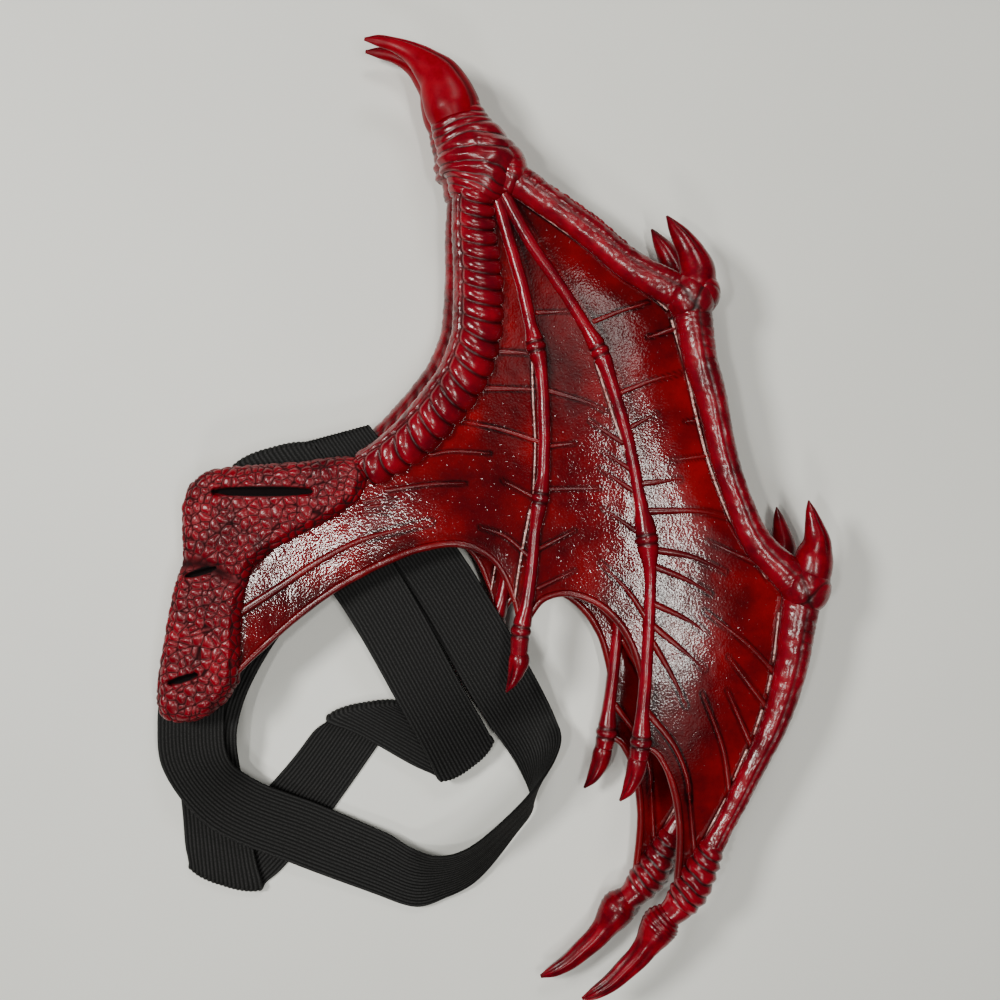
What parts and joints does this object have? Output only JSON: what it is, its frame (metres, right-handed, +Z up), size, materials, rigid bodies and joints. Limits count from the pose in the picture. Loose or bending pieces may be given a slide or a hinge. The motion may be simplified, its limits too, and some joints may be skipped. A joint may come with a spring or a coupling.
{
  "type": "pair of dragon costume wings",
  "caption": "Cast latex dragon wings with scaly back pads, clawed bones and veined membranes, laid one on the other with their black elastic shoulder straps.",
  "frame": {"origin": "On the floor, under the middle of the whole thing as it lies.", "axes": "+Z is up from the floor. +Y runs from the end claws to the horns. +X runs from the back pads to the leading edge of the wings."},
  "size_m": [0.4984, 0.7094, 0.0739],
  "materials": {
    "latex_red": "painted latex, dark in the grooves, half gloss",
    "membrane_red": "painted latex, dark brown wash, glossy",
    "claw_red": "painted latex, brighter red, half gloss",
    "black_elastic": "knitted elastic with lengthwise ribs, matt"
  },
  "bodies": {
    "root": {"upper_base_pad": "latex_red", "upper_knuckle_1": "latex_red", "upper_knuckle_2": "latex_red", "upper_wrist": "latex_red", "upper_tip_knuckle": "latex_red", "upper_arm": "latex_red", "upper_horn": "latex_red", "upper_spar_1": "latex_red", "upper_spar_2": "latex_red", "upper_spar_3": "latex_red", "upper_tip_claw": "claw_red", "upper_knuckle_claw_1": "claw_red", "upper_knuckle_claw_2": "claw_red", "upper_inner_finger": "latex_red", "upper_middle_finger": "latex_red", "upper_inner_claw": "claw_red", "upper_middle_claw": "claw_red", "upper_inner_membrane": "membrane_red", "upper_middle_membrane": "membrane_red", "upper_outer_membrane": "membrane_red", "lower_base_pad": "latex_red", "lower_knuckle_1": "latex_red", "lower_knuckle_2": "latex_red", "lower_wrist": "latex_red", "lower_tip_knuckle": "latex_red", "lower_arm": "latex_red", "lower_horn": "latex_red", "lower_spar_1": "latex_red", "lower_spar_2": "latex_red", "lower_spar_3": "latex_red", "lower_tip_claw": "claw_red", "lower_knuckle_claw_1": "claw_red", "lower_knuckle_claw_2": "claw_red", "lower_inner_finger": "latex_red", "lower_middle_finger": "latex_red", "lower_inner_claw": "claw_red", "lower_middle_claw": "claw_red", "lower_inner_membrane": "membrane_red", "lower_middle_membrane": "membrane_red", "lower_outer_membrane": "membrane_red", "strap_1": "black_elastic", "strap_2": "black_elastic"}
  },
  "joints": []
}
